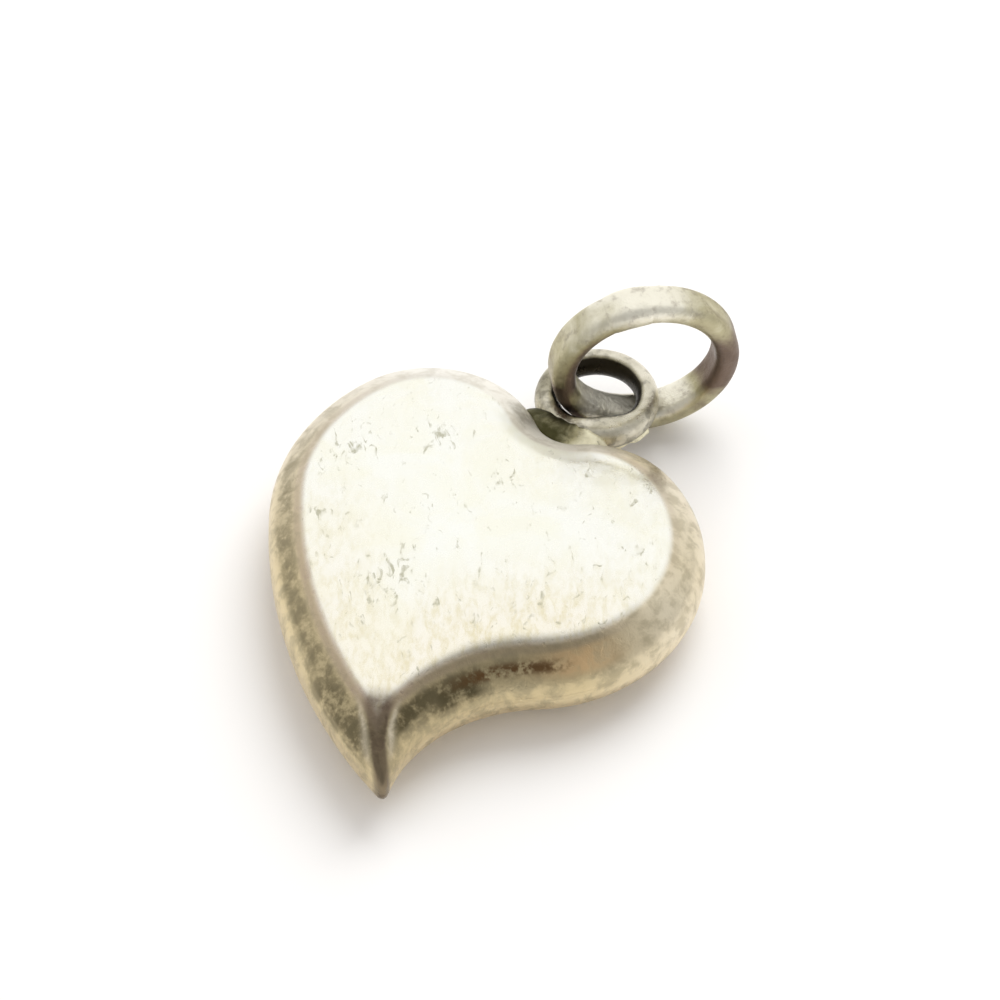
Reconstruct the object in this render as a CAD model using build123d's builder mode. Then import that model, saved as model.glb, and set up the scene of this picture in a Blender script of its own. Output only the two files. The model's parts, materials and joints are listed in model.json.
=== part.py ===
"""A puffed silver heart charm: two stamped shells, a soldered hanging eye and a jump ring, in mm."""
from build123d import *
from math import asin, atan, cos, degrees, hypot, radians, sin, tan
import os

os.makedirs("parts", exist_ok=True)

# Outline of the heart at its widest, as angles and radii walked from the notch down each side to the tail.
# +Y runs from the tail up to the notch, +Z out of the front, and the flat back lies on Z = 0.
notch_y = 7.05
notch_radius = 1.25
tail_sway = 3.3
tail_drop = 15.0
left_notch_angle = 38
left_crown_radius = 3.8
left_crown_angle = 104
left_side_radius = 6.8
left_side_angle = 56
right_notch_angle = 37
right_crown_radius = 3.4
right_crown_angle = 60
right_side_radius = 5.65
right_side_angle = 122

# Section through the rim: an upright side, a shoulder rounded in steps, a bevel, and a low dome in front.
thickness = 3.1
side_height = 1.2
bevel_width = 1.15
shoulder_share = 0.8
shoulder_steps = 4
dome_radius = 75.0
dome_rise = 0.2
dome_centre_x = 0.9
dome_centre_y = 0.3
tail_rounding = 0.22
wall = 0.42

# Solder film between the rims of the two shells, a little proud of them.
film = 0.14
film_proud = 0.04

# Hanging eye, a closed ring of oval wire laid level above the notch, and the solder that holds it there.
# The solder fills the notch and runs under the eye as a skirt on the side of the right lobe.
eye_radius = 1.66
eye_wire = 0.78
eye_height = 0.96
eye_reach = 2.65
eye_aside = -0.04
eye_solder_width = 3.4
eye_solder_length = 1.7
eye_solder_height = 1.3
eye_solder_share = 0.9
skirt_drop = 0.8
skirt_bearing = -94
skirt_arc = 94

# Jump ring of flat wire that stands in the eye, its plane turned from +X towards +Y, with a soldered cut.
ring_radius = 2.74
ring_wire_radial = 0.8
ring_wire_axial = 1.3
ring_wire_share = 0.45
ring_bearing = 43
ring_tip_angle = 3.0
ring_play = 0.06
rest_gap = 0.1
cut_width = 0.2
cut_bearing = 102
bead_length = 1.4
bead_proud = 0.05

# Sizes that follow from those above.
seam_z = thickness / 2
bevel_rise = (thickness - side_height) / 2
bevel_angle = degrees(atan(bevel_width / bevel_rise))
shoulder_cut = shoulder_share * side_height / 2
shoulder_angle = bevel_angle / shoulder_steps
shoulder_chord = 2 * shoulder_cut / tan(radians(bevel_angle / 2)) * sin(radians(shoulder_angle / 2))
notch = (0, notch_y)
tail = (tail_sway, notch_y - tail_drop)
seam = Plane.XY.offset(seam_z)
eye_solder_rounding = eye_solder_share * eye_solder_length**2 / (2 * eye_solder_width)

with BuildSketch() as heart_outline:
    with BuildLine():
        left_notch = JernArc(notch, (-1, 0), notch_radius, -left_notch_angle)
        left_crown = JernArc(left_notch @ 1, left_notch % 1, left_crown_radius, left_crown_angle)
        left_side = JernArc(left_crown @ 1, left_crown % 1, left_side_radius, left_side_angle)
        TangentArc(left_side @ 1, tail, tangent=left_side % 1)
        right_notch = JernArc(notch, (1, 0), notch_radius, right_notch_angle)
        right_crown = JernArc(right_notch @ 1, right_notch % 1, right_crown_radius, -right_crown_angle)
        right_side = JernArc(right_crown @ 1, right_crown % 1, right_side_radius, -right_side_angle)
        TangentArc(right_side @ 1, tail, tangent=right_side % 1)
    make_face()


def half_heart(skin, rise):
    """Half of the heart above the seam: skin is how far inside the outer surface, rise is for a dome."""
    heights = [0]
    insets = [skin]
    if skin:
        heights.append(side_height / 2 - skin * tan(radians(bevel_angle / 2)))
        insets.append(skin)
    else:
        heights.append(side_height / 2 - shoulder_cut)
        insets.append(0)
        for step in range(shoulder_steps):
            turn = radians(shoulder_angle * (step + 0.5))
            heights.append(heights[-1] + shoulder_chord * cos(turn))
            insets.append(insets[-1] + shoulder_chord * sin(turn))
    slope = seam_z - skin + rise - heights[-1]
    heights.append(heights[-1] + slope)
    insets.append(insets[-1] + slope * tan(radians(bevel_angle)))
    with BuildPart() as half:
        for height, inset in zip(heights, insets):
            with BuildSketch(seam.offset(height)) as level:
                add(heart_outline.sketch)
                if inset:
                    offset(amount=-inset)
                fillet(level.vertices().sort_by(Axis.Y)[0], tail_rounding)
        loft(ruled=True)
        if rise:
            with Locations((dome_centre_x, dome_centre_y, thickness + dome_rise - dome_radius)):
                Sphere(dome_radius - skin, rotation=(90, 0, 0), mode=Mode.INTERSECT)
    return half.part


# Front shell, a domed half, hollow inside.
with BuildPart() as front_shell:
    add(half_heart(0, dome_rise))
    add(half_heart(wall, dome_rise), mode=Mode.SUBTRACT)
    split(bisect_by=seam.offset(film / 2), keep=Keep.TOP)
front_shell.part.label = "front_shell"
export_step(front_shell.part, "parts/front_shell.step")

# Back shell, the same half turned over and left flat.
with BuildPart() as back_shell:
    add(half_heart(0, 0))
    add(half_heart(wall, 0), mode=Mode.SUBTRACT)
    split(bisect_by=seam.offset(film / 2), keep=Keep.TOP)
    mirror(about=seam, mode=Mode.REPLACE)
back_shell.part.label = "back_shell"
export_step(back_shell.part, "parts/back_shell.step")

# Rim solder, the closed film that joins the shells all the way round.
with BuildPart() as rim_solder:
    with BuildSketch(seam):
        add(heart_outline.sketch)
        offset(amount=film_proud, kind=Kind.INTERSECTION)
        with BuildSketch(seam, mode=Mode.SUBTRACT):
            add(heart_outline.sketch)
            offset(amount=-wall)
    extrude(amount=film / 2, both=True)
    fillet(rim_solder.edges().filter_by(Axis.Z).sort_by(Axis.Y)[0], tail_rounding + film_proud)
rim_solder.part.label = "rim_solder"
export_step(rim_solder.part, "parts/rim_solder.step")

# Hanging eye, a closed ring of oval wire.
eye_centre = Vector(eye_aside, notch_y + eye_reach, seam_z)
eye_axis = Axis(eye_centre, (0, 0, 1))
skirt_start = Vector(cos(radians(skirt_bearing)), sin(radians(skirt_bearing)), 0)
with BuildPart() as hanging_eye:
    with BuildSketch(Plane(eye_centre, x_dir=skirt_start, z_dir=skirt_start.cross(Vector(0, 0, 1)))):
        with Locations((eye_radius, 0)):
            Ellipse(eye_wire / 2, eye_height / 2)
    revolve(axis=eye_axis)
hanging_eye.part.label = "hanging_eye"
export_step(hanging_eye.part, "parts/hanging_eye.step")

# Eye solder, the lump that fills the notch and the skirt under the eye.
with BuildPart() as eye_solder:
    with BuildSketch(seam):
        with Locations((eye_aside, notch_y + (eye_reach - eye_radius) / 2)):
            Ellipse(eye_solder_width / 2, eye_solder_length / 2)
    extrude(amount=eye_solder_height / 2, both=True)
    fillet(eye_solder.edges().filter_by(Plane.XY), eye_solder_rounding)
    with BuildSketch(Plane(eye_centre, x_dir=skirt_start, z_dir=skirt_start.cross(Vector(0, 0, 1)))):
        with Locations((eye_radius, -skirt_drop / 2)):
            RectangleRounded(eye_wire, skirt_drop, eye_wire / 4)
    revolve(axis=eye_axis, revolution_arc=skirt_arc)
    add(half_heart(0, dome_rise), mode=Mode.SUBTRACT)
    add(mirror(half_heart(0, 0), about=seam, mode=Mode.PRIVATE), mode=Mode.SUBTRACT)
    add(rim_solder.part, mode=Mode.SUBTRACT)
    add(hanging_eye.part, mode=Mode.SUBTRACT)
eye_solder.part.label = "eye_solder"
export_step(eye_solder.part, "parts/eye_solder.step")

# Jump ring, hung on the eye's wire at its bearing and leaning in until it nearly meets the eye's far side.
out = Vector(cos(radians(ring_bearing)), sin(radians(ring_bearing)), 0)
tip = radians(ring_tip_angle)
up = Vector(0, 0, cos(tip)) + out.cross(Vector(0, 0, 1)) * sin(tip)
ring_face = out.cross(up)
swing_centre = eye_centre + out * eye_radius
hang = ring_radius - ring_wire_radial / 2 - eye_height / 2 - ring_play
steep = atan(hang / (2 * eye_radius))
eye_side = hypot(eye_wire / 2 * cos(steep), eye_height / 2 * sin(steep))
rest_span = ring_radius + ring_wire_radial / 2 + eye_side + rest_gap
lean = asin(((2 * eye_radius) ** 2 + hang**2 - rest_span**2) / (4 * eye_radius * hang))
ring_centre = swing_centre + (up * cos(lean) - out * sin(lean)) * hang
ring_axis = Axis(ring_centre, ring_face)
corner = ring_wire_share * ring_wire_radial
cut_angle = degrees(cut_width / ring_radius)
bead_angle = degrees(bead_length / ring_radius)


def ring_section(bearing):
    """Plane across the wire at a bearing round the ring, with x pointing away from the ring's centre."""
    away = out * cos(radians(bearing)) + up * sin(radians(bearing))
    return Plane(ring_centre, x_dir=away, z_dir=away.cross(ring_face))


with BuildPart() as jump_ring:
    with BuildSketch(ring_section(cut_bearing + cut_angle / 2)):
        with Locations((ring_radius, 0)):
            RectangleRounded(ring_wire_radial, ring_wire_axial, corner)
    revolve(axis=ring_axis, revolution_arc=360 - cut_angle)
jump_ring.part.label = "jump_ring"
export_step(jump_ring.part, "parts/jump_ring.step")

# Ring solder, the plug in the ring's cut with a low bead round both ends.
with BuildPart() as ring_solder:
    with BuildSketch(ring_section(cut_bearing - bead_angle / 2)):
        with Locations((ring_radius, 0)):
            RectangleRounded(
                ring_wire_radial + 2 * bead_proud,
                ring_wire_axial + 2 * bead_proud,
                corner + bead_proud,
            )
    revolve(axis=ring_axis, revolution_arc=bead_angle)
    add(jump_ring.part, mode=Mode.SUBTRACT)
ring_solder.part.label = "ring_solder"
export_step(ring_solder.part, "parts/ring_solder.step")
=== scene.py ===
"""Looks of the silver heart charm: worn shells, tarnished wire and solder, with painted shade and
highlights, on white paper.
"""
import json
import math

import bpy
import numpy as np
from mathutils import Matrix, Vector, noise


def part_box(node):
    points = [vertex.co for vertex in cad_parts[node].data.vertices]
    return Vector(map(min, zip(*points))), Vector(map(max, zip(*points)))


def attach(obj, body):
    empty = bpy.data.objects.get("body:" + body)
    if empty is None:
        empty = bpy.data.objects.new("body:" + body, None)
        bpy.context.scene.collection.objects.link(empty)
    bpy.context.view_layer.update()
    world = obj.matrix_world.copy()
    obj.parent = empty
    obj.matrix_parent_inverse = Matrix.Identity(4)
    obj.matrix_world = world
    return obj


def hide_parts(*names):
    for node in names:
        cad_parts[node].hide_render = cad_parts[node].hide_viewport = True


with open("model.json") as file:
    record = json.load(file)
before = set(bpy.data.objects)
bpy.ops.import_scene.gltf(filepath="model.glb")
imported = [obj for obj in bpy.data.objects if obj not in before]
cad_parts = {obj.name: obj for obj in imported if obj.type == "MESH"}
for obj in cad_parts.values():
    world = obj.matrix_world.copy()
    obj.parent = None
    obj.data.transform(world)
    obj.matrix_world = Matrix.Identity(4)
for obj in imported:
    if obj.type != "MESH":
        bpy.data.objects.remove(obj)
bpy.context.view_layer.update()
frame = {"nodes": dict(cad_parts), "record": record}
NOISE_SEED = 3
noise.seed_set(NOISE_SEED)
MM = 0.001

# Outline of the heart in mm, the same arcs as the solids: radius, angle and steps from notch to tail.
NOTCH = (0.0, 7.05)
TAIL = (3.3, -7.95)
LEFT_WALK = ((1.25, -38, 10), (3.8, 104, 64), (6.8, 56, 60))
RIGHT_WALK = ((1.25, 37, 10), (3.4, -60, 34), (5.65, -122, 110))
LAST_STEPS = 64

# The tail's tip, worn back along both sides to a narrow bowed flat, wider on the bevel than at the rim.
WORN_RIM, WORN_BEVEL, WORN_BY = 0.3, 0.6, 0.6
TIP_STEPS = 14
TIP_BOW = 0.55

# Section of a shell in mm: upright side, rounded shoulder, bevel, and in front a low dome.
FRONT_LOW, FRONT_HIGH = (corner.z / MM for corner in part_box("front_shell"))
BACK_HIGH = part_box("back_shell")[1].z / MM
SEAM = (FRONT_LOW + BACK_HIGH) / 2
FILM = FRONT_LOW - BACK_HIGH
RIM_HEIGHT = FILM / 2
WALL = 0.42
UPRIGHT = 0.12
SHOULDER = 1.02
BEVEL = math.radians(50.4)
DOME_RADIUS = 75.0
DOME_CENTRE = np.array((0.9, 0.3))

# Rings of a shell: its inside as shares of a level ring and as insets with heights, its skin as insets,
# and its face as shares of the skin's last ring.
INNER_INSET, INNER_HEIGHT = 1.5, 1.06
INNER_SHARES = (0.03, 0.2, 0.6)
INNER_RINGS = ((INNER_INSET, INNER_HEIGHT), (0.95, 0.8), (WALL, 0.35), (WALL, RIM_HEIGHT))
RIM_ROUND = 0.012
SKIN_INSETS = [0.0, 0.004, 0.02, 0.05, 0.09, 0.14, 0.19, 0.25, 0.31, 0.37]
SKIN_INSETS += [*np.arange(0.44, 0.79, 0.09), *np.arange(0.8, 1.7, 0.045), 1.76, 1.9, 2.05]
FACE_SHARES = np.linspace(0.93, 0.03, 34)

# Slow unevenness of handwork, as sizes and reaches in mm.
UNEVEN = ((2.6, 0.014), (0.8, 0.005))


def smooth(low, high, value):
    """Rises smoothly from 0 to 1 between two values."""
    t = np.clip((np.asarray(value, float) - low) / (high - low), 0, 1)
    return t * t * (3 - 2 * t)


def band(low, high, soft, value):
    """1 between two values and 0 outside them, with soft ends."""
    return smooth(low - soft, low + soft, value) * (1 - smooth(high - soft, high + soft, value))


def by_place(pairs, place):
    """Value at a place or bearing, from pairs of place and value."""
    places, values = zip(*pairs)
    return np.interp(place, places, values)


def arcs_of(walk, heading):
    """Arcs (centre, signed radius, start bearing, sweep, steps) of one side, closing on the tail."""
    point, heading = np.array(NOTCH), math.radians(heading)
    arcs = []
    for radius, angle, steps in walk:
        side = math.copysign(1, angle)
        away = heading - side * math.pi / 2
        centre = point - radius * np.array((math.cos(away), math.sin(away)))
        arcs.append((centre, side * radius, away, math.radians(angle), steps))
        away += math.radians(angle)
        point = centre + radius * np.array((math.cos(away), math.sin(away)))
        heading += math.radians(angle)
    left_hand = np.array((-math.sin(heading), math.cos(heading)))
    chord = np.array(TAIL) - point
    radius = chord @ chord / (2 * chord @ left_hand)
    centre = point + radius * left_hand
    start = math.atan2(*(point - centre)[::-1])
    arcs.append((centre, radius, start, None, LAST_STEPS))
    return arcs


LEFT = arcs_of(LEFT_WALK, 180)
RIGHT = arcs_of(RIGHT_WALK, 0)


def tip_at(inset):
    """Point where the last arcs of the two sides meet at an inset."""
    (left, left_radius, *_), (right, right_radius, *_) = LEFT[-1], RIGHT[-1]
    left_size, right_size = abs(left_radius - inset), abs(right_radius + inset)
    gap = right - left
    span = np.linalg.norm(gap)
    along = (left_size**2 - right_size**2 + span**2) / (2 * span)
    aside = math.sqrt(max(left_size**2 - along**2, 0))
    foot = left + gap / span * along
    across = np.array((-gap[1], gap[0])) / span * aside
    return min((foot + across, foot - across), key=lambda point: np.linalg.norm(point - np.array(TAIL)))


def ring_at(inset):
    """Closed outline at an inset, from the notch down the left, round the tail and up the right."""
    tip = tip_at(inset)
    worn = float(WORN_RIM + (WORN_BEVEL - WORN_RIM) * smooth(0.0, WORN_BY, inset))
    sides = []
    for arcs, sign in ((LEFT, 1), (RIGHT, -1)):
        points = []
        for centre, radius, start, sweep, steps in arcs:
            size = abs(radius - sign * inset)
            last = sweep is None
            if last:
                end = math.atan2(*(tip - centre)[::-1])
                sweep = (end - start + math.pi) % (2 * math.pi) - math.pi
                sweep -= math.copysign(worn / size, sweep)
            turn = start + sweep * np.arange(steps + 1)[:, None] / steps
            run = centre + size * np.hstack((np.cos(turn), np.sin(turn)))
            points.append(run if last else run[:-1])
        sides.append(np.vstack(points))
    t = np.arange(1, TIP_STEPS)[:, None] / TIP_STEPS
    flat = (1 - t) * sides[0][-1] + t * sides[1][-1]
    bend = (1 - t) ** 2 * sides[0][-1] + 2 * t * (1 - t) * tip + t**2 * sides[1][-1]
    return np.vstack((sides[0], flat + TIP_BOW * (bend - flat), sides[1][:0:-1]))


OUTLINE = ring_at(0)
COUNT = len(OUTLINE)
TIP = sum(steps for *_, steps in LEFT_WALK) + LAST_STEPS + TIP_STEPS // 2

# How far the face's edge is rounded off, by place round the outline: crisp by the tail, worn at the lobes.
# Places count the outline's points from the notch down the left side to the tail and up the right side.
EDGE_SOFTNESS = (
    (0, 0.5), (30, 0.55), (100, 0.36), (150, 0.26), (TIP, 0.2), (300, 0.24), (340, 0.4), (400, 0.5),
    (COUNT, 0.5),
)


def profile(inset):
    """Height of the side above the seam at an inset: upright, rounded shoulder, then bevel."""
    turned = SHOULDER * (1 - math.cos(BEVEL))
    if inset <= turned:
        return UPRIGHT + math.sqrt(max(SHOULDER**2 - (SHOULDER - inset) ** 2, 0))
    return UPRIGHT + SHOULDER * math.sin(BEVEL) + (inset - turned) / math.tan(BEVEL)


def dome(xy):
    """Height of the front's low dome."""
    return FRONT_HIGH - DOME_RADIUS + np.sqrt(DOME_RADIUS**2 - ((xy - DOME_CENTRE) ** 2).sum(1))


def soft_min(a, b, width):
    """The smaller of two heights, rounded off where they cross."""
    near = np.maximum(width - np.abs(a - b), 0) / width
    return np.minimum(a, b) - near**2 * width / 4


def level(xy, height):
    """Points of an outline at a height."""
    return np.column_stack((xy, np.broadcast_to(height, len(xy))))


def wander(points, size, reach):
    """Slow unevenness, the same for all pieces at the same place."""
    return np.array([noise.noise_vector(Vector(point) / size) for point in points]) * reach


def mark(mesh, name, values):
    """A value for each point of a mesh, for its material to read."""
    layer = mesh.attributes.new(name, "FLOAT", "POINT")
    layer.data.foreach_set("value", np.asarray(values, np.float32))


def mesh_piece(name, rings, body, marks, closed=False, uneven=1.0):
    """Mesh of rings joined in order. A closed run joins last to first, an open one ends on two hubs."""
    points = np.vstack(rings)
    count = len(rings[0])
    faces = []
    for r in range(len(rings) if closed else len(rings) - 1):
        a, b = r * count, (r + 1) % len(rings) * count
        for i in range(count):
            j = (i + 1) % count
            faces.append((a + i, a + j, b + j, b + i))
    if not closed:
        for r, flip in ((0, True), (len(rings) - 1, False)):
            hub = len(points)
            points = np.vstack((points, rings[r].mean(0)))
            for i in range(count):
                a, b = r * count + i, r * count + (i + 1) % count
                faces.append((b, a, hub) if flip else (a, b, hub))
    worked = points
    for size, reach in UNEVEN:
        worked = worked + wander(points, size, reach * uneven)
    mesh = bpy.data.meshes.new(name)
    mesh.from_pydata([tuple(point * MM) for point in worked], [], faces)
    mesh.update()
    mesh.shade_smooth()
    for key, values in marks(points).items():
        mark(mesh, key, values)
    piece = bpy.data.objects.new(name, mesh)
    bpy.context.scene.collection.objects.link(piece)
    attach(piece, body)
    return piece


def shell_rings(domed):
    """Rings of the domed front or the flat back: inside from the middle to the rim, then the skin back."""
    sign = 1 if domed else -1
    rings = []
    for share in INNER_SHARES:
        xy = DOME_CENTRE + (ring_at(INNER_INSET) - DOME_CENTRE) * share
        rings.append(level(xy, SEAM + sign * INNER_HEIGHT))
    for inset, height in INNER_RINGS:
        rings.append(level(ring_at(inset), SEAM + sign * height))
    rings.append(level(ring_at(RIM_ROUND), SEAM + sign * RIM_HEIGHT))
    rings.append(level(OUTLINE, SEAM + sign * (RIM_HEIGHT + RIM_ROUND)))
    softness = by_place(EDGE_SOFTNESS, np.arange(COUNT))
    for inset in SKIN_INSETS:
        xy = ring_at(inset)
        top = dome(xy) - SEAM if domed else np.full(COUNT, SEAM)
        rings.append(level(xy, SEAM + sign * soft_min(np.full(COUNT, profile(inset)), top, softness)))
    last = ring_at(SKIN_INSETS[-1])
    for share in FACE_SHARES:
        xy = DOME_CENTRE + (last - DOME_CENTRE) * share
        rings.append(level(xy, dome(xy) if domed else np.zeros(COUNT)))
    return rings if domed else [ring[::-1] for ring in rings]


# Stains and painted shade by place round the outline, as pairs of place and strength.
CRUST = (
    (4, 0), (10, 0.4), (15, 0.4), (21, 0), (60, 0), (110, 0.3), (140, 0.5), (165, 0.6), (190, 0.85),
    (204, 0.6), (214, 0.3), (230, 1), (254, 0.8), (268, 0.3), (290, 0), (320, 0), (384, 0), (396, 0.4),
    (408, 0),
)
DEEP_CRUST = ((166, 0), (178, 0.85), (190, 0.85), (198, 0.2), (236, 0.4), (246, 1), (256, 1), (264, 0))
# The rim band is partly stain and partly painted shade where the face's edge turns down.
RIM_STAIN_AND_SHADE = (
    (0, 0), (30, 0), (70, 0.3), (100, 0.5), (130, 0.6), (165, 0.8), (190, 1), (216, 1), (240, 0.8),
    (260, 0.55), (300, 0.45), (322, 0), (345, 0.2), (385, 0.3), (396, 0.5), (414, 0.1), (COUNT, 0),
)
WARMTH = (
    (0, 0.1), (25, 0.1), (55, 0), (85, 0.35), (110, 0.6), (150, 0.95), (TIP, 1), (290, 1), (325, 0.6),
    (345, 0.7), (380, 0.5), (396, 0.8), (414, 0.3), (COUNT, 0.1),
)
NEAR_EDGE = ((120, 0.1), (170, 0.8), (TIP, 1), (290, 1), (340, 0.2))
BURNT = ((246, 0), (258, 0.95), (280, 0.95), (290, 0))
# Painted shade with some tarnish darkens the near flank, by place.
TARNISH_AND_SHADE = ((165, 0), (200, 0.75), (240, 1), (298, 1), (326, 0))
RUST_PLACE, RUST_SPAN = 290, 12
MATTE_SPAN = 13

# Stains, painted shade and painted highlight by inset from the outline in mm: a band's start, end and
# softness, or a fade's start and end.
CRUST_BAND = (0.28, 0.78, 0.12)
DEEP_BAND = (0.08, 0.6, 0.1)
RUST_BAND = (0.22, 0.86, 0.12)
BURNT_BAND = (0.36, 0.66, 0.1)
RIM_BAND = (0.84, 1.17, 0.08)
LINE_BAND = (0.2, 0.85, 0.15)
SIDE_FADE = (0.98, 1.2)
NEAR_FADE = (1.2, 5.5)
TARNISH_AND_SHADE_FADE = (1.12, 1.35)
TARNISH_AND_SHADE_RISE = (0.1, 0.9)
MATTE_FADE = (1.25, 1.75)

# Stains, painted shade and a painted reflection low down, by height in mm.
LOW_FADE = (0.9, 1.9)
FRONT_RISE = (SEAM + 0.1, SEAM + 0.4)
TAIL_RISE = (SEAM - 0.9, SEAM - 0.3)

# The dark ridge of the tail, painted shade on its worn flat: its line, its end along that line, and its half
# width and softness, which grow from the rim to the face. A pale line, a painted highlight, runs along both
# its sides.
RIDGE_INSETS = np.linspace(0, 1.8, 120)
RIDGE = np.array([ring_at(inset)[TIP] for inset in RIDGE_INSETS])
RIDGE_END = (1.08, 1.56)
RIDGE_HALF, RIDGE_GROWS, RIDGE_GROWTH = 0.24, 0.3, (0.5, 1.15)
RIDGE_SOFT, RIDGE_SOFTENS, RIDGE_SOFTENING = 0.07, 0.24, (0.65, 1.2)
LINE_ASIDE, LINE_SPAN = 0.17, 0.115

# Clusters of pits on the face: place and size in mm.
PITTED = (
    (-4.8, 2.5, 0.75), (-2.9, 4.3, 0.75), (-0.6, -1.5, 0.85),
    (-4.2, -0.4, 0.4), (5.2, 3.8, 0.4), (0.2, 3.8, 0.4),
)
NEAREST_BATCH = 2000


def nearest(points, line):
    """Distance of points from a line of points, seen from the front, and the index of the nearest one."""
    flat = np.asarray(points)[:, :2]
    far, index = np.zeros(len(flat)), np.zeros(len(flat), int)
    for start in range(0, len(flat), NEAREST_BATCH):
        batch = slice(start, start + NEAREST_BATCH)
        away = ((flat[batch, None] - line[None]) ** 2).sum(2)
        index[batch] = away.argmin(1)
        far[batch] = np.sqrt(away.min(1))
    return far, index


def shell_marks(points):
    """Where the shells are low, warm, worn, stained, painted with light or shade, pitted or matte, by place,
    inset and height.
    """
    inset, place = nearest(points, OUTLINE)
    ridge, along = nearest(points, RIDGE)
    x, y, height = points.T
    facing = smooth(*FRONT_RISE, height)
    crust = band(*CRUST_BAND, inset) * by_place(CRUST, place)
    deep = band(*DEEP_BAND, inset) * by_place(DEEP_CRUST, place)
    half = RIDGE_HALF + RIDGE_GROWS * smooth(*RIDGE_GROWTH, inset)
    soft = RIDGE_SOFT + RIDGE_SOFTENS * smooth(*RIDGE_SOFTENING, inset)
    tail = smooth(*TAIL_RISE, height) * (1 - smooth(*RIDGE_END, RIDGE_INSETS[along]))
    tarnish_and_shade = (1 - smooth(*TARNISH_AND_SHADE_FADE, inset)) * (0.5 + 0.5 * smooth(*TARNISH_AND_SHADE_RISE, inset))
    from_notch = np.minimum(place, COUNT - place)
    pits = sum(np.exp(-(((x - px) ** 2 + (y - py) ** 2) / size**2)) for px, py, size in PITTED)
    return {
        "side": 1 - smooth(*SIDE_FADE, inset),
        # Painted reflection of the paper on the low wall.
        "low": 1 - smooth(*LOW_FADE, height),
        "warm": by_place(WARMTH, place),
        "near": (1 - smooth(*NEAR_FADE, inset)) * by_place(NEAR_EDGE, place),
        "crust": facing * np.maximum(crust, deep),
        "rust": facing * band(*RUST_BAND, inset) * np.exp(-(((place - RUST_PLACE) / RUST_SPAN) ** 2)),
        "burnt": facing * band(*BURNT_BAND, inset) * by_place(BURNT, place),
        # Painted shade with some tarnish, darkening the near flank.
        "tarnish_and_shade": facing * tarnish_and_shade * by_place(TARNISH_AND_SHADE, place),
        # Partly stain, partly painted shade along the face's edge.
        "rim": facing * band(*RIM_BAND, inset) * by_place(RIM_STAIN_AND_SHADE, place),
        # Painted shade on the tail's worn flat.
        "ridge": tail * (1 - smooth(half - soft, half + soft, ridge)),
        # Painted highlight along both edges of the tail's flat.
        "line": facing * band(*LINE_BAND, inset) * np.exp(-(((ridge - half - LINE_ASIDE) / LINE_SPAN) ** 2)),
        "pits": np.clip(pits, 0, 1) * facing,
        "matte": facing * (1 - smooth(*MATTE_FADE, inset)) * np.exp(-((from_notch / MATTE_SPAN) ** 2)),
    }


front = mesh_piece("front_skin", shell_rings(True), "heart", shell_marks)
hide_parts("front_shell")
back = mesh_piece("back_skin", shell_rings(False), "heart", shell_marks)
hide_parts("back_shell")

# Lower half of the solder film's section, from the inside out: insets in mm, heights in film thicknesses.
# Its lips lie inside the shells' walls, and only the low bead between the rims shows.
FILM_SECTION = (
    (WALL, -0.5), (0.06, -0.5), (0.06, -1.5), (0.03, -1.6), (0.008, -1.1), (0.001, -0.75), (-0.003, -0.4),
)
FILM_CROWN = (-0.004, 0.0)


def film_rings():
    """The solder film round the outline, closed on its inside."""
    upper = tuple((inset, -height) for inset, height in FILM_SECTION[::-1])
    section = (*FILM_SECTION, FILM_CROWN, *upper)
    return [level(ring_at(inset), SEAM + FILM * height) for inset, height in section]


film = mesh_piece("rim_film", film_rings(), "heart", shell_marks, closed=True)
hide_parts("rim_solder")

# Jump ring: its place and axis come from the record, its size from the frame, and its wire is in mm.
loop = next(mount for mount in frame["record"]["mounts"] if mount["name"] == "ring_loop")
RING_CENTRE = np.array(loop["pos_m"]) / MM
RING_FACE = np.array(loop["axis"]) / np.linalg.norm(loop["axis"])
RING_OUT = np.array((-RING_FACE[1], RING_FACE[0], 0)) / math.hypot(RING_FACE[0], RING_FACE[1])
RING_UP = np.cross(RING_FACE, RING_OUT)
WIRE_RADIAL, WIRE_AXIAL, WIRE_CORNER = 0.8, 1.3, 0.36
RING_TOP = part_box("jump_ring")[1].z / MM - WIRE_AXIAL / 2 * abs(RING_FACE[2])
RING_RADIUS = (RING_TOP - RING_CENTRE[2]) / RING_UP[2] - WIRE_RADIAL / 2
RING_STEPS = 200
RING_UNEVEN = 0.8
CORNER_STEPS = 7
STRAIGHT_SHARES = np.array((0.25, 0.5, 0.75))

# The ring's cut and the low lens of solder over it, which starts a little inside the wire.
CUT_BEARING, CUT_WIDTH = math.radians(102), 0.2
BEAD_LENGTH, BEAD_PROUD = 1.4, 0.05
BEAD_SWELL, BEAD_SUNK = 1.25, 0.3
BEAD_STEPS = 40

# Tarnish and painted shade by bearing round the ring in degrees, from its outer side up over its top.
# The pale stretch inside is painted light, and the darker front edges and the crevice by the eye are painted
# shade.
RING_DARK = (
    (0, 1.15), (18, 1.05), (34, 0.6), (52, 0.5), (70, 0.2), (95, 0), (125, 0.15), (160, 0.5), (186, 0.75),
    (205, 0.3), (225, 0), (258, 0), (280, 0.55), (300, 0.6), (322, 0.85), (338, 1.05), (360, 1.15),
)
RING_PALE_LIGHT = ((265, 0), (288, 1), (300, 1), (326, 0))
RING_FRONT_SHADE = ((60, 0.1), (110, 0.35), (150, 0.55), (185, 0.4), (205, 0.05), (300, 0.05))
RING_CREVICE_SHADE = ((182, 0), (198, 1.2), (228, 1.2), (250, 0))

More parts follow.
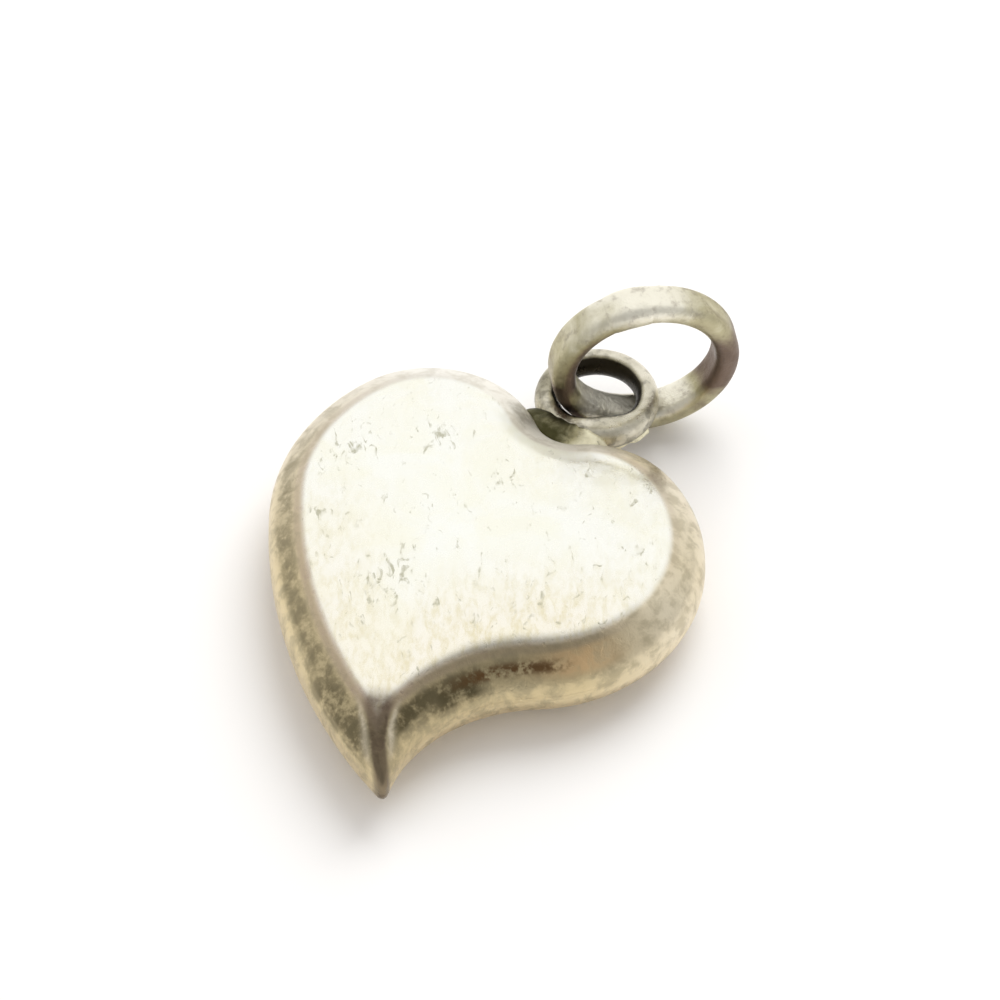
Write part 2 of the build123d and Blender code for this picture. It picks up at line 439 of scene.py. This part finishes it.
# Fades across the ring's wire in mm, by distance from the ring's centre or along its axis.
INNER_FADE = (RING_RADIUS - 0.38, RING_RADIUS - 0.1)
EDGE_FADE, EDGE_RISE = (RING_RADIUS - 0.15, RING_RADIUS + 0.15), (0.15, 0.5)
CREVICE_OUT, CREVICE_RISE = (RING_RADIUS - 0.1, RING_RADIUS + 0.15), (-0.1, 0.3)


def swept(centre, across, up, radius, section, bearings):
    """Rings of a wire's section, (outward, sideways) in mm, carried round a circle."""
    face = np.cross(across, up)
    rings = []
    for bearing in bearings:
        away = across * math.cos(bearing) + up * math.sin(bearing)
        shape = section(bearing)[::-1]
        rings.append(centre + away * (radius + shape[:, :1]) + face * shape[:, 1:])
    return rings


def rounded(wide, high, corner):
    """Outline of a rounded rectangle about its middle, with some points along its straight sides."""
    arcs = []
    for quarter, (x, y) in enumerate(((1, 1), (-1, 1), (-1, -1), (1, -1))):
        centre = np.array((x * (wide / 2 - corner), y * (high / 2 - corner)))
        turn = math.pi / 2 * (quarter + np.arange(CORNER_STEPS + 1) / CORNER_STEPS)
        arcs.append(centre + corner * np.column_stack((np.cos(turn), np.sin(turn))))
    runs = []
    for arc, ahead in zip(arcs, arcs[1:] + arcs[:1]):
        runs += [arc, arc[-1] + (ahead[0] - arc[-1]) * STRAIGHT_SHARES[:, None]]
    return np.vstack(runs)


def ring_section(bearing):
    return rounded(WIRE_RADIAL, WIRE_AXIAL, WIRE_CORNER)


def bead_section(bearing):
    share = (bearing - CUT_BEARING) * RING_RADIUS / (BEAD_LENGTH / 2)
    proud = BEAD_PROUD * (math.sqrt(max(1 - share**2, 0)) * BEAD_SWELL - BEAD_SUNK)
    return rounded(WIRE_RADIAL + 2 * proud, WIRE_AXIAL + 2 * proud, WIRE_CORNER + proud)


def ring_marks(points):
    """Tarnish and painted shade by bearing; painted light on a stretch inside, painted shade on front edges
    and crevice.
    """
    around = points - RING_CENTRE
    bearing = np.degrees(np.arctan2(around @ RING_UP, around @ RING_OUT)) % 360
    reach = np.hypot(around @ RING_UP, around @ RING_OUT)
    forward = around @ RING_FACE
    # The pale stretch inside is painted light.
    pale_light = by_place(RING_PALE_LIGHT, bearing) * (1 - smooth(*INNER_FADE, reach))
    # Painted shade on the front edges.
    front_edge_shade = smooth(*EDGE_RISE, forward) * (1 - smooth(*EDGE_FADE, reach)) * by_place(RING_FRONT_SHADE, bearing)
    # Painted shade in the crevice by the eye.
    crevice_shade = smooth(*CREVICE_RISE, forward) * smooth(*CREVICE_OUT, reach) * by_place(RING_CREVICE_SHADE, bearing)
    return {"dark": by_place(RING_DARK, bearing) - pale_light + front_edge_shade * (1 - pale_light) + crevice_shade}


def ring_piece(name, section, start, end, steps):
    rings = swept(RING_CENTRE, RING_OUT, RING_UP, RING_RADIUS, section, np.linspace(start, end, steps))
    return mesh_piece(name, rings, "ring", ring_marks, uneven=RING_UNEVEN)


half_cut = CUT_WIDTH / 2 / RING_RADIUS
after_cut, before_cut = CUT_BEARING + half_cut, CUT_BEARING + 2 * math.pi - half_cut
ring = ring_piece("jump_ring_wire", ring_section, after_cut, before_cut, RING_STEPS)
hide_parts("jump_ring")
half_bead = BEAD_LENGTH / 2 / RING_RADIUS
bead = ring_piece("ring_bead", bead_section, CUT_BEARING - half_bead, CUT_BEARING + half_bead, BEAD_STEPS)
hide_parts("ring_solder")

# Hanging eye: oval wire in mm. Its inside is spread inwards in front, over so many degrees to the left and
# right, and a little at its left, clear of the ring.
low, high = (np.array(corner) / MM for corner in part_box("hanging_eye"))
EYE_CENTRE = (low + high) / 2
EYE_WIRE, EYE_HEIGHT = 0.78, high[2] - low[2]
EYE_RADIUS = (high[0] - low[0]) / 2 - EYE_WIRE / 2
EYE_FRONT = math.degrees(math.atan2(RING_FACE[1], RING_FACE[0])) % 360
EYE_SPREAD, SPREAD_LEFT, SPREAD_RIGHT = 0.4, 76, 52
EYE_LIP, LIP_BAND = 0.04, (-90, -58, 8)
EYE_STEPS, EYE_SIDES = 150, 32
EYE_UNEVEN = 1.2

# Darkness of the eye: tarnish all over and on its left by bearing, and tarnish with painted shade inside and
# underneath. The fades are in mm.
EYE_DARK, EYE_INSIDE, EYE_UNDER, EYE_DARKEST = 0.24, 1.5, 0.7, 1.4
EYE_LEFT = ((170, 0), (200, 0.25), (250, 0.2), (275, 0))
EYE_INSIDE_FADE = (-0.33, -0.08)
EYE_UNDER_FADE = (EYE_CENTRE[2] - 0.42, EYE_CENTRE[2] - 0.05)


def eye_spread(bearing):
    """How far the eye's inside is spread inwards at a bearing in degrees."""
    off = (np.asarray(bearing) - EYE_FRONT + 180) % 360 - 180
    share = np.minimum(np.abs(off) / np.where(off < 0, SPREAD_LEFT, SPREAD_RIGHT), 1)
    return EYE_SPREAD * np.cos(math.pi / 2 * share) ** 2 + EYE_LIP * band(*LIP_BAND, off)


def eye_section(bearing):
    turn = np.linspace(0, 2 * math.pi, EYE_SIDES, endpoint=False)
    inward = np.where(np.cos(turn) < 0, EYE_WIRE / 2 + eye_spread(math.degrees(bearing)), EYE_WIRE / 2)
    return np.column_stack((inward * np.cos(turn), EYE_HEIGHT / 2 * np.sin(turn)))


def eye_marks(points):
    """Tarnish all over, with painted shade as well as tarnish inside the eye and under it."""
    x, y, _ = (points - EYE_CENTRE).T
    bearing = np.degrees(np.arctan2(y, x)) % 360
    inside = 1 - smooth(*EYE_INSIDE_FADE, np.hypot(x, y) - EYE_RADIUS + eye_spread(bearing))
    under = 1 - smooth(*EYE_UNDER_FADE, points[:, 2])
    # Inside and under the eye, tarnish with painted shade.
    dark = EYE_DARK + EYE_INSIDE * inside + EYE_UNDER * under + by_place(EYE_LEFT, bearing)
    return {"dark": np.clip(dark, 0, EYE_DARKEST)}


eye_turns = np.linspace(0, 2 * math.pi, EYE_STEPS, endpoint=False)
eye_across, eye_up = np.array((1.0, 0, 0)), np.array((0, 1.0, 0))
eye_rings = swept(EYE_CENTRE, eye_across, eye_up, EYE_RADIUS, eye_section, eye_turns)
eye = mesh_piece("eye_wire", eye_rings, "heart", eye_marks, closed=True, uneven=EYE_UNEVEN)
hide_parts("hanging_eye")

# Eye solder, lengths in mm: how finely it is melted, how it thins out from its middle, how uneven it is,
# how it is drawn in round the eye's wire, by distance in half wires, and how dark the painted shade in its
# crevice is.
MELT_SIZE = 0.04
MELT_SOFT, MELT_ROUNDS = 0.5, 10
LUMP_BACK, LUMP_SIZE = 2.15, (1.7, 0.85)
LUMP_THINS, LUMP_HALF = 0.4, 0.6
LUMP_UNEVEN = ((0.75, 0.11), (0.34, 0.055))
PULL, PULL_FADE, PULL_LEAST = 0.22, (1.05, 1.5), 0.2
SOLDER_DARK, CREVICE_FADE, CREVICE_LEAN = 0.05, (-0.15, 0.75), 0.25


def melted_lump():
    """The solid's own lump, remeshed and smoothed."""
    lump = bpy.data.objects.new("eye_solder_lump", frame["nodes"]["eye_solder"].data.copy())
    bpy.context.scene.collection.objects.link(lump)
    melt = lump.modifiers.new("melt", "REMESH")
    melt.mode = "VOXEL"
    melt.voxel_size = MELT_SIZE * MM
    soften = lump.modifiers.new("soften", "SMOOTH")
    soften.factor, soften.iterations = MELT_SOFT, MELT_ROUNDS
    mesh = bpy.data.meshes.new_from_object(lump.evaluated_get(bpy.context.evaluated_depsgraph_get()))
    lump.modifiers.clear()
    lump.data = mesh
    mesh.shade_smooth()
    return lump


def flow(points):
    """Solder run out thin at its edges, uneven, and drawn in round the eye's wire."""
    off = (points[:, :2] - (EYE_CENTRE[0], EYE_CENTRE[1] - LUMP_BACK)) / LUMP_SIZE
    raised = np.clip(points[:, 2] - SEAM, -LUMP_HALF, LUMP_HALF)
    points[:, 2] -= raised * LUMP_THINS * np.clip((off**2).sum(1), 0, 1)
    points += sum(wander(points, size, reach) for size, reach in LUMP_UNEVEN)
    from_eye = np.hypot(*(points - EYE_CENTRE)[:, :2].T)
    out, up = from_eye - EYE_RADIUS, points[:, 2] - EYE_CENTRE[2]
    reach = np.hypot(out / (EYE_WIRE / 2), up / (EYE_HEIGHT / 2))
    pull = PULL * (1 - smooth(*PULL_FADE, reach)) / np.maximum(reach, PULL_LEAST)
    away = (points - EYE_CENTRE)[:, :2] / from_eye[:, None]
    points[:, :2] -= away * (out * pull)[:, None]
    points[:, 2] -= up * pull
    return points


lump = melted_lump()
flowed = flow(np.array([vertex.co for vertex in lump.data.vertices]) / MM)
lump.data.vertices.foreach_set("co", (flowed * MM).astype(np.float32).ravel())
lump.data.update()
# Darker on its left side: painted shade in the crevice by the notch.
crevice_shade = 1 - smooth(*CREVICE_FADE, flowed[:, 0] - CREVICE_LEAN * (flowed[:, 2] - SEAM))
mark(lump.data, "dark", SOLDER_DARK + crevice_shade)
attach(lump, "heart")
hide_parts("eye_solder")


class Nodes:
    """Shorthand for building one material's nodes."""

    def __init__(self, name):
        self.material = bpy.data.materials.new(name)
        self.material.use_nodes = True
        self.tree = self.material.node_tree
        self.tree.nodes.clear()
        self.output = self.add("ShaderNodeOutputMaterial")
        self.shader = self.add("ShaderNodeBsdfPrincipled")
        self.link(self.shader.outputs[0], self.output.inputs["Surface"])
        self.place = self.add("ShaderNodeTexCoord").outputs["Object"]

    def add(self, kind, **values):
        node = self.tree.nodes.new(kind)
        for key, value in values.items():
            setattr(node, key, value)
        return node

    def link(self, a, b):
        self.tree.links.new(a, b)

    def put(self, socket, value):
        if isinstance(value, bpy.types.NodeSocket):
            self.link(value, socket)
        else:
            socket.default_value = value

    def noise(self, scale, detail=4.0, rough=0.55, stretch=(1, 1, 1), turn=0.0, warp=0.0):
        """Noise with so many features to the mm."""
        place = self.add("ShaderNodeMapping", vector_type="TEXTURE")
        self.link(self.place, place.inputs["Vector"])
        place.inputs["Rotation"].default_value = (0, 0, turn)
        place.inputs["Scale"].default_value = [MM / (scale * s) for s in stretch]
        node = self.add("ShaderNodeTexNoise")
        self.link(place.outputs[0], node.inputs["Vector"])
        node.inputs["Scale"].default_value = 1.0
        node.inputs["Detail"].default_value = detail
        node.inputs["Roughness"].default_value = rough
        node.inputs["Distortion"].default_value = warp
        return node.outputs["Fac"]

    def ramp(self, value, low, high, start=0.0, end=1.0):
        node = self.add("ShaderNodeMapRange", interpolation_type="SMOOTHSTEP")
        self.link(value, node.inputs["Value"])
        for key, number in (("From Min", low), ("From Max", high), ("To Min", start), ("To Max", end)):
            node.inputs[key].default_value = number
        return node.outputs[0]

    def math(self, kind, a, b):
        node = self.add("ShaderNodeMath", operation=kind)
        self.put(node.inputs[0], a)
        self.put(node.inputs[1], b)
        return node.outputs[0]

    def times(self, a, b):
        return self.math("MULTIPLY", a, b)

    def plus(self, a, b):
        return self.math("ADD", a, b)

    def mix(self, share, a, b):
        node = self.add("ShaderNodeMix", data_type="RGBA")
        self.put(node.inputs["Factor"], share)
        for name, value in (("A", a), ("B", b)):
            socket = next(s for s in node.inputs if s.name == name and s.type == "RGBA")
            self.put(socket, value if isinstance(value, bpy.types.NodeSocket) else (*value, 1))
        return next(s for s in node.outputs if s.type == "RGBA")

    def mark(self, name):
        return self.add("ShaderNodeAttribute", attribute_name=name).outputs["Fac"]

    def bump(self, height, distance, before=None):
        """Relief of a height, so many mm deep, on top of an earlier one."""
        node = self.add("ShaderNodeBump")
        node.inputs["Distance"].default_value = distance * MM
        self.link(height, node.inputs["Height"])
        if before:
            self.link(before, node.inputs["Normal"])
        return node.outputs[0]


# Colours of the shells' face, side, stains, painted shade and highlight, and the turns of the face's streaks
# and scratches.
BRIGHT, CREAM = (0.96, 0.97, 0.925), (0.95, 0.95, 0.85)
STREAKED, GOLDEN, GREY_GREEN = (0.76, 0.72, 0.50), (0.92, 0.81, 0.62), (0.45, 0.44, 0.32)
PALE, KHAKI, LOW_TAN_REFLECTION = (0.92, 0.90, 0.84), (0.72, 0.60, 0.36), (0.93, 0.80, 0.55)
MOTTLED, CRUSTED = (0.40, 0.35, 0.23), (0.10, 0.082, 0.04)
RUSTED, SCORCHED = (1.0, 0.70, 0.38), (0.17, 0.09, 0.035)
MAUVE, RIDGE_PAINTED_SHADE, LINE_PAINTED_HIGHLIGHT = (0.38, 0.295, 0.25), (0.125, 0.09, 0.065), (0.88, 0.79, 0.62)
TARNISH_AND_SHADE_DARK = (0.03, 0.022, 0.012)
STREAK_TURN, SCRATCH_TURN = math.radians(32.8), math.radians(45)

# Stains and painted light across face and side: mark, strengths from low to high patch noise, and colour.
# The rim band is partly painted shade, the ridge is painted shade and the line a painted highlight.
STAINS_AND_PAINTED_LIGHT = (("rim", (0.9, 0.5), MAUVE), ("ridge", (0.95, 0.7), RIDGE_PAINTED_SHADE), ("line", (0.95, 0.45), LINE_PAINTED_HIGHLIGHT))


def shell_face(look, blotch, near, spots):
    """The face: rubbed bright, creamier and streaked by its near edge, with clusters of grey-green pits."""
    streak = look.noise(2.6, detail=5, rough=0.65, stretch=(1.5, 0.6, 1.0), turn=STREAK_TURN, warp=0.3)
    face = look.mix(look.ramp(blotch, 0.35, 0.65), BRIGHT, CREAM)
    face = look.mix(look.times(near, look.ramp(streak, 0.4, 0.72)), face, STREAKED)
    face = look.mix(look.times(near, 0.38), face, GOLDEN)
    return look.mix(look.times(spots, 0.8), face, GREY_GREEN)


def shell_side(look, patch, grain, crust):
    """The side: pale at the lobes, khaki towards the tail, tan low down as a painted reflection, crusted and
    burnt on the bevel.
    """
    warm = look.mark("warm")
    side = look.mix(warm, PALE, KHAKI)
    # Tan low down is a painted reflection of the paper.
    side = look.mix(look.times(look.mark("low"), 0.8), side, LOW_TAN_REFLECTION)
    mottle = look.times(look.ramp(patch, 0.42, 0.64), look.ramp(warm, 0.0, 1.0, 0.25, 0.6))
    side = look.mix(mottle, side, MOTTLED)
    side = look.mix(look.times(crust, 0.9), side, CRUSTED)
    side = look.mix(look.times(look.mark("rust"), look.ramp(patch, 0.3, 0.55, 0.45, 0.9)), side, RUSTED)
    return look.mix(look.times(look.mark("burnt"), look.ramp(grain, 0.42, 0.56)), side, SCORCHED)


def aged_silver():
    look = Nodes("aged_silver")
    blotch = look.noise(0.5, detail=5, rough=0.6, warp=0.6)
    patch = look.noise(1.7, detail=6, rough=0.62, warp=0.3)
    speck = look.noise(5.5, detail=4, rough=0.6)
    squiggle = look.noise(2.6, detail=3, rough=0.55, stretch=(1.5, 0.7, 1.0), turn=STREAK_TURN, warp=0.9)
    dent = look.noise(0.8, detail=1.5, rough=0.4)
    scratch = look.noise(2.4, detail=2, rough=0.5, stretch=(2.6, 0.15, 1.0), turn=SCRATCH_TURN, warp=0.3)
    grain = look.plus(look.times(patch, 0.6), look.times(speck, 0.4))
    side, near = look.mark("side"), look.mark("near")
    pitted = look.plus(look.times(look.mark("pits"), 0.15), look.times(near, 0.03))
    spots = look.ramp(look.plus(squiggle, pitted), 0.62, 0.8)
    crust = look.times(look.mark("crust"), look.ramp(grain, 0.36, 0.54, 0.4, 1.0))

    colour = look.mix(side, shell_face(look, blotch, near, spots), shell_side(look, patch, grain, crust))
    for name, strengths, stain_or_painted_light in STAINS_AND_PAINTED_LIGHT:
        share = look.times(look.mark(name), look.ramp(patch, 0.3, 0.6, *strengths))
        colour = look.mix(share, colour, stain_or_painted_light)
    # Painted shade with some tarnish darkens the near flank.
    colour = look.mix(look.times(look.mark("tarnish_and_shade"), 0.3), colour, TARNISH_AND_SHADE_DARK)
    look.link(colour, look.shader.inputs["Base Color"])
    look.shader.inputs["Metallic"].default_value = 1.0

    rough = look.plus(look.times(side, 0.08), look.ramp(patch, 0.3, 0.7, 0.2, 0.33))
    rough = look.plus(rough, look.times(crust, 0.15))
    look.link(look.plus(rough, look.times(look.mark("matte"), 0.4)), look.shader.inputs["Roughness"])

    relief = look.bump(dent, 0.04)
    relief = look.bump(look.times(patch, look.ramp(side, 0.0, 1.0, 0.3, 1.0)), 0.03, before=relief)
    relief = look.bump(look.times(speck, look.ramp(side, 0.0, 1.0, 0.25, 1.0)), 0.012, before=relief)
    relief = look.bump(look.times(spots, -1.0), 0.01, before=relief)
    relief = look.bump(look.ramp(scratch, 0.6, 0.75), 0.003, before=relief)
    look.link(relief, look.shader.inputs["Normal"])
    return look.material


def wire_silver(name, colours, worn, fine=0.7, dull_by=0.0):
    """Wire or solder: light, dull or dark by its dark mark of tarnish and painted shade, with darker worn
    patches.
    """
    light, dull, dark = colours
    look = Nodes(name)
    blotch = look.noise(fine, detail=5, rough=0.6, warp=0.5)
    patch = look.noise(2.2, detail=6, rough=0.62)
    speck = look.noise(7.0, detail=3, rough=0.6)
    tone = look.plus(look.mark("dark"), look.times(look.math("SUBTRACT", blotch, 0.5), 1.1))
    colour = look.mix(look.ramp(tone, 0.0, 0.55), light, dull)
    colour = look.mix(look.ramp(tone, 0.4, 1.1), colour, dark)
    colour = look.mix(look.times(look.ramp(patch, 0.5, 0.68), worn), colour, dark)
    look.link(colour, look.shader.inputs["Base Color"])
    look.shader.inputs["Metallic"].default_value = 1.0
    look.link(look.ramp(patch, 0.3, 0.7, 0.24 + dull_by, 0.42 + dull_by), look.shader.inputs["Roughness"])
    look.link(look.bump(speck, 0.014, before=look.bump(patch, 0.04)), look.shader.inputs["Normal"])
    return look.material


# Each dark colour serves tarnish and painted shade alike.
WIRE_COLOURS = ((0.94, 0.91, 0.79), (0.52, 0.48, 0.31), (0.19, 0.14, 0.11))
EYE_COLOURS = ((0.84, 0.80, 0.68), (0.42, 0.39, 0.29), (0.03, 0.025, 0.017))
SOLDER_COLOURS = ((0.92, 0.88, 0.68), (0.52, 0.48, 0.30), (0.075, 0.07, 0.03))
SHELL = aged_silver()
WIRE = wire_silver("silver_wire", WIRE_COLOURS, worn=0.35, dull_by=0.1)
EYE = wire_silver("eye_silver", EYE_COLOURS, worn=0.45)
SOLDER = wire_silver("silver_solder", SOLDER_COLOURS, worn=0.95, fine=1.8, dull_by=0.2)

finishes = (
    (front, SHELL), (back, SHELL), (film, SHELL),
    (ring, WIRE), (bead, WIRE), (eye, EYE), (lump, SOLDER),
)
for piece, finish in finishes:
    piece.data.materials.clear()
    piece.data.materials.append(finish)

# White paper under the charm, in metres. It takes the shadow, and glows a little to camera and mirror rays.
PAPER_REACH, PAPER_BELOW = 0.6, 0.00002
PAPER_COLOUR = (0.92, 0.895, 0.885, 1)
PAPER_GLOW = 0.03
WHITE = (1, 1, 1, 1)


def paper_material():
    sheet = bpy.data.materials.new("paper")
    sheet.use_nodes = True
    tree = sheet.node_tree
    tree.nodes.clear()
    diffuse = tree.nodes.new("ShaderNodeBsdfDiffuse")
    diffuse.inputs["Color"].default_value = PAPER_COLOUR
    path = tree.nodes.new("ShaderNodeLightPath")
    seen = tree.nodes.new("ShaderNodeMath")
    seen.operation = "MAXIMUM"
    tree.links.new(path.outputs["Is Camera Ray"], seen.inputs[0])
    tree.links.new(path.outputs["Is Glossy Ray"], seen.inputs[1])
    gain = tree.nodes.new("ShaderNodeMath")
    gain.operation = "MULTIPLY"
    gain.inputs[1].default_value = PAPER_GLOW
    tree.links.new(seen.outputs[0], gain.inputs[0])
    glow = tree.nodes.new("ShaderNodeEmission")
    glow.inputs["Color"].default_value = WHITE
    tree.links.new(gain.outputs[0], glow.inputs["Strength"])
    both = tree.nodes.new("ShaderNodeAddShader")
    tree.links.new(diffuse.outputs[0], both.inputs[0])
    tree.links.new(glow.outputs[0], both.inputs[1])
    output = tree.nodes.new("ShaderNodeOutputMaterial")
    tree.links.new(both.outputs[0], output.inputs["Surface"])
    return sheet


paper = bpy.data.meshes.new("paper")
corners = [(x * PAPER_REACH, y * PAPER_REACH, 0) for x, y in ((-1, -1), (1, -1), (1, 1), (-1, 1))]
paper.from_pydata(corners, [], [(0, 1, 2, 3)])
paper.materials.append(paper_material())
floor = bpy.data.objects.new("paper", paper)
floor.location.z = -PAPER_BELOW
bpy.context.scene.collection.objects.link(floor)

# Camera of the photograph, in metres, with its lens and sensor in mm.
AZIMUTH, ELEVATION, DISTANCE = math.radians(32.83), math.radians(49.0), 0.18
TARGET = Vector((-0.0003928, 0.0043681, 0.0014248))
UP = Vector((0, 0, 1))
toward = Vector((
    math.sin(AZIMUTH) * math.cos(ELEVATION),
    -math.cos(AZIMUTH) * math.cos(ELEVATION),
    math.sin(ELEVATION),
))
camera = bpy.data.cameras.new("camera")
camera.sensor_width = 36
camera.lens = 199.6
camera.clip_start, camera.clip_end = 0.005, 5
viewer = bpy.data.objects.new("camera", camera)
viewer.location = TARGET + toward * DISTANCE
viewer.rotation_mode = "QUATERNION"
viewer.rotation_quaternion = (-toward).to_track_quat("-Z", "Y")
bpy.context.scene.collection.objects.link(viewer)
bpy.context.scene.camera = viewer

# Soft room light: a broad bright window behind the charm, and a dimmer patch where the photographer stands.
# Each changes the light from one strength to another, between two cosines of the angle from its middle.
BEHIND = Vector((-toward.x, -toward.y, 0)).normalized()
WINDOW = (BEHIND * 0.66 + UP * 0.75).normalized()
WINDOW_COSINES, WINDOW_LIGHT = (0.25, 0.85), (0.7, 1.04)
VIEWER_COSINES, VIEWER_LIGHT = (0.45, 0.95), (1.0, 0.68)
ROOM_COLOUR = (1.0, 0.99, 0.97, 1)


def light_round(tree, coords, middle, cosines, strengths):
    """Strength that changes smoothly with the angle from a direction."""
    dot = tree.nodes.new("ShaderNodeVectorMath")
    dot.operation = "DOT_PRODUCT"
    dot.inputs[1].default_value = middle
    tree.links.new(coords.outputs["Generated"], dot.inputs[0])
    change = tree.nodes.new("ShaderNodeMapRange")
    change.interpolation_type = "SMOOTHSTEP"
    for key, number in zip(("From Min", "From Max", "To Min", "To Max"), (*cosines, *strengths)):
        change.inputs[key].default_value = number
    tree.links.new(dot.outputs["Value"], change.inputs["Value"])
    return change.outputs[0]


def room_light():
    """The room lights the charm and shows in it, and the camera sees white."""
    world = bpy.data.worlds.new("studio")
    world.use_nodes = True
    tree = world.node_tree
    tree.nodes.clear()
    coords = tree.nodes.new("ShaderNodeTexCoord")
    strength = tree.nodes.new("ShaderNodeMath")
    strength.operation = "MULTIPLY"
    window_light = light_round(tree, coords, WINDOW, WINDOW_COSINES, WINDOW_LIGHT)
    viewer_light = light_round(tree, coords, toward, VIEWER_COSINES, VIEWER_LIGHT)
    tree.links.new(window_light, strength.inputs[0])
    tree.links.new(viewer_light, strength.inputs[1])
    room = tree.nodes.new("ShaderNodeBackground")
    room.inputs["Color"].default_value = ROOM_COLOUR
    tree.links.new(strength.outputs[0], room.inputs["Strength"])
    white = tree.nodes.new("ShaderNodeBackground")
    white.inputs["Color"].default_value = WHITE
    path = tree.nodes.new("ShaderNodeLightPath")
    pick = tree.nodes.new("ShaderNodeMixShader")
    tree.links.new(path.outputs["Is Camera Ray"], pick.inputs[0])
    tree.links.new(room.outputs[0], pick.inputs[1])
    tree.links.new(white.outputs[0], pick.inputs[2])
    output = tree.nodes.new("ShaderNodeOutputWorld")
    tree.links.new(pick.outputs[0], output.inputs["Surface"])
    return world


bpy.context.scene.world = room_light()

# A wide lamp behind the charm, in metres and watts. Mirror rays don't see it. It gives the paper its shadow.
RIGHTWARD = Vector((BEHIND.y, -BEHIND.x, 0))
LAMP_PLACE = (BEHIND * 0.58 + RIGHTWARD * 0.28 + UP * 0.74) * 0.3
LAMP_COLOUR, LAMP_SIZE, LAMP_POWER = (0.95, 0.99, 1.0), 0.25, 0.55
key = bpy.data.lights.new("key", "AREA")
key.shape = "DISK"
key.color = LAMP_COLOUR
key.size = LAMP_SIZE
key.energy = LAMP_POWER
lamp = bpy.data.objects.new("key", key)
lamp.location = TARGET + LAMP_PLACE
lamp.rotation_mode = "QUATERNION"
lamp.rotation_quaternion = (TARGET - lamp.location).to_track_quat("-Z", "Y")
lamp.visible_glossy = False
bpy.context.scene.collection.objects.link(lamp)

bpy.context.scene.view_settings.view_transform = "Standard"
